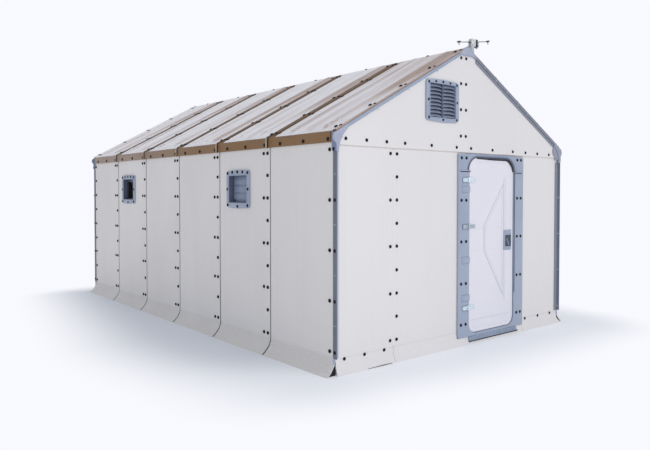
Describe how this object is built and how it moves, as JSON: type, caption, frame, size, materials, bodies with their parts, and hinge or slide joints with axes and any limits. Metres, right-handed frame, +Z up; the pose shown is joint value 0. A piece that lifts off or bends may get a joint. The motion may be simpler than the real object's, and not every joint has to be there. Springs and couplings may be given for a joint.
{
  "type": "flat-pack refugee shelter",
  "caption": "Pitched-roof panel shelter on a steel frame, with a hinged door and latch, swing-in window shutters, gable vents and fabric roof covers.",
  "frame": {"origin": "on the ground at the middle of the shelter's plan", "axes": "+X to the right across the shelter as its door is faced, +Y from the door end to the rear, +Z up"},
  "size_m": [3.38, 5.58, 2.9427],
  "materials": {
    "wall_foam": "matt foam sheet",
    "roof_foam": "matt tan foam sheet",
    "cover_fabric": "coated fabric, lightly creased",
    "blue_grey_plastic": "moulded, fine satin",
    "zinc_steel": "zinc plated",
    "door_plastic": "semi-gloss sheet",
    "dark_plastic": "moulded, satin"
  },
  "bodies": {
    "root": {"corner_cover_front_left": "blue_grey_plastic", "corner_cover_front_right": "blue_grey_plastic", "corner_cover_rear_left": "blue_grey_plastic", "corner_cover_rear_right": "blue_grey_plastic", "door_head": "blue_grey_plastic", "door_jamb_left": "blue_grey_plastic", "door_jamb_right": "blue_grey_plastic", "door_lining": "blue_grey_plastic", "door_sill": "blue_grey_plastic", "front_gable_frame": "zinc_steel", "front_gable_left": "wall_foam", "front_gable_right": "wall_foam", "front_panel_left": "wall_foam", "front_panel_middle": "wall_foam", "front_panel_right": "wall_foam", "gable_cap_front": "blue_grey_plastic", "gable_cap_rear": "blue_grey_plastic", "hinge_plate_high": "zinc_steel", "hinge_plate_low": "zinc_steel", "hinge_plate_middle": "zinc_steel", "left_panel_1": "wall_foam", "left_panel_2": "wall_foam", "left_panel_3": "wall_foam", "left_panel_4": "wall_foam", "left_panel_5": "wall_foam", "left_panel_6": "wall_foam", "middle_frame": "zinc_steel", "rear_gable_frame": "zinc_steel", "rear_gable_panel": "wall_foam", "rear_panel_left": "wall_foam", "rear_panel_middle": "wall_foam", "rear_panel_right": "wall_foam", "ridge_bracket": "zinc_steel", "right_panel_1": "wall_foam", "right_panel_2": "wall_foam", "right_panel_3": "wall_foam", "right_panel_4": "wall_foam", "right_panel_5": "wall_foam", "right_panel_6": "wall_foam", "roof_cover_left": "cover_fabric", "roof_cover_right": "cover_fabric", "roof_panel_left": "roof_foam", "roof_panel_right": "roof_foam", "vent_front": "blue_grey_plastic", "vent_rear": "blue_grey_plastic", "window_frame_left_far": "blue_grey_plastic", "window_frame_left_near": "blue_grey_plastic", "window_frame_right_far": "blue_grey_plastic", "window_frame_right_near": "blue_grey_plastic"},
    "door": {"door_leaf": "door_plastic", "hinge_strap_low": "zinc_steel", "hinge_strap_middle": "zinc_steel", "hinge_strap_high": "zinc_steel", "handle_plate": "blue_grey_plastic"},
    "handle": {"handle_lever": "dark_plastic"},
    "latch": {"latch_bolt": "zinc_steel"},
    "left_near_shutter": {"shutter_left_near": "blue_grey_plastic"},
    "left_far_shutter": {"shutter_left_far": "blue_grey_plastic"},
    "right_near_shutter": {"shutter_right_near": "blue_grey_plastic"},
    "right_far_shutter": {"shutter_right_far": "blue_grey_plastic"}
  },
  "joints": [
    {"name": "door_swing", "type": "hinge", "parent": "root", "child": "door", "pos_m": [0.03, -2.7815, 0.95], "axis": [0, 0, -1], "range_deg": [0, 120]},
    {"name": "handle_turn", "type": "hinge", "parent": "door", "child": "handle", "pos_m": [0.69, -2.767, 0.925], "axis": [0, 1, 0], "range_deg": [0, 40]},
    {"name": "latch_slide", "type": "slide", "parent": "door", "child": "latch", "axis": [1, 0, 0], "range_m": [0, 0.02]},
    {"name": "left_near_shutter_swing", "type": "hinge", "parent": "root", "child": "left_near_shutter", "pos_m": [-1.5485, -1.293, 1.6015], "axis": [0, -1, 0], "range_deg": [0, 85]},
    {"name": "left_far_shutter_swing", "type": "hinge", "parent": "root", "child": "left_far_shutter", "pos_m": [-1.5485, 1.467, 1.6015], "axis": [0, -1, 0], "range_deg": [-80, 5]},
    {"name": "right_near_shutter_swing", "type": "hinge", "parent": "root", "child": "right_near_shutter", "pos_m": [1.5485, -1.293, 1.6015], "axis": [0, 1, 0], "range_deg": [0, 85]},
    {"name": "right_far_shutter_swing", "type": "hinge", "parent": "root", "child": "right_far_shutter", "pos_m": [1.5485, 1.467, 1.6015], "axis": [0, 1, 0], "range_deg": [0, 85]}
  ],
  "couplings": [
    {"joint": "latch_slide", "follows": "handle_turn", "m_per_rad": 0.02864}
  ]
}
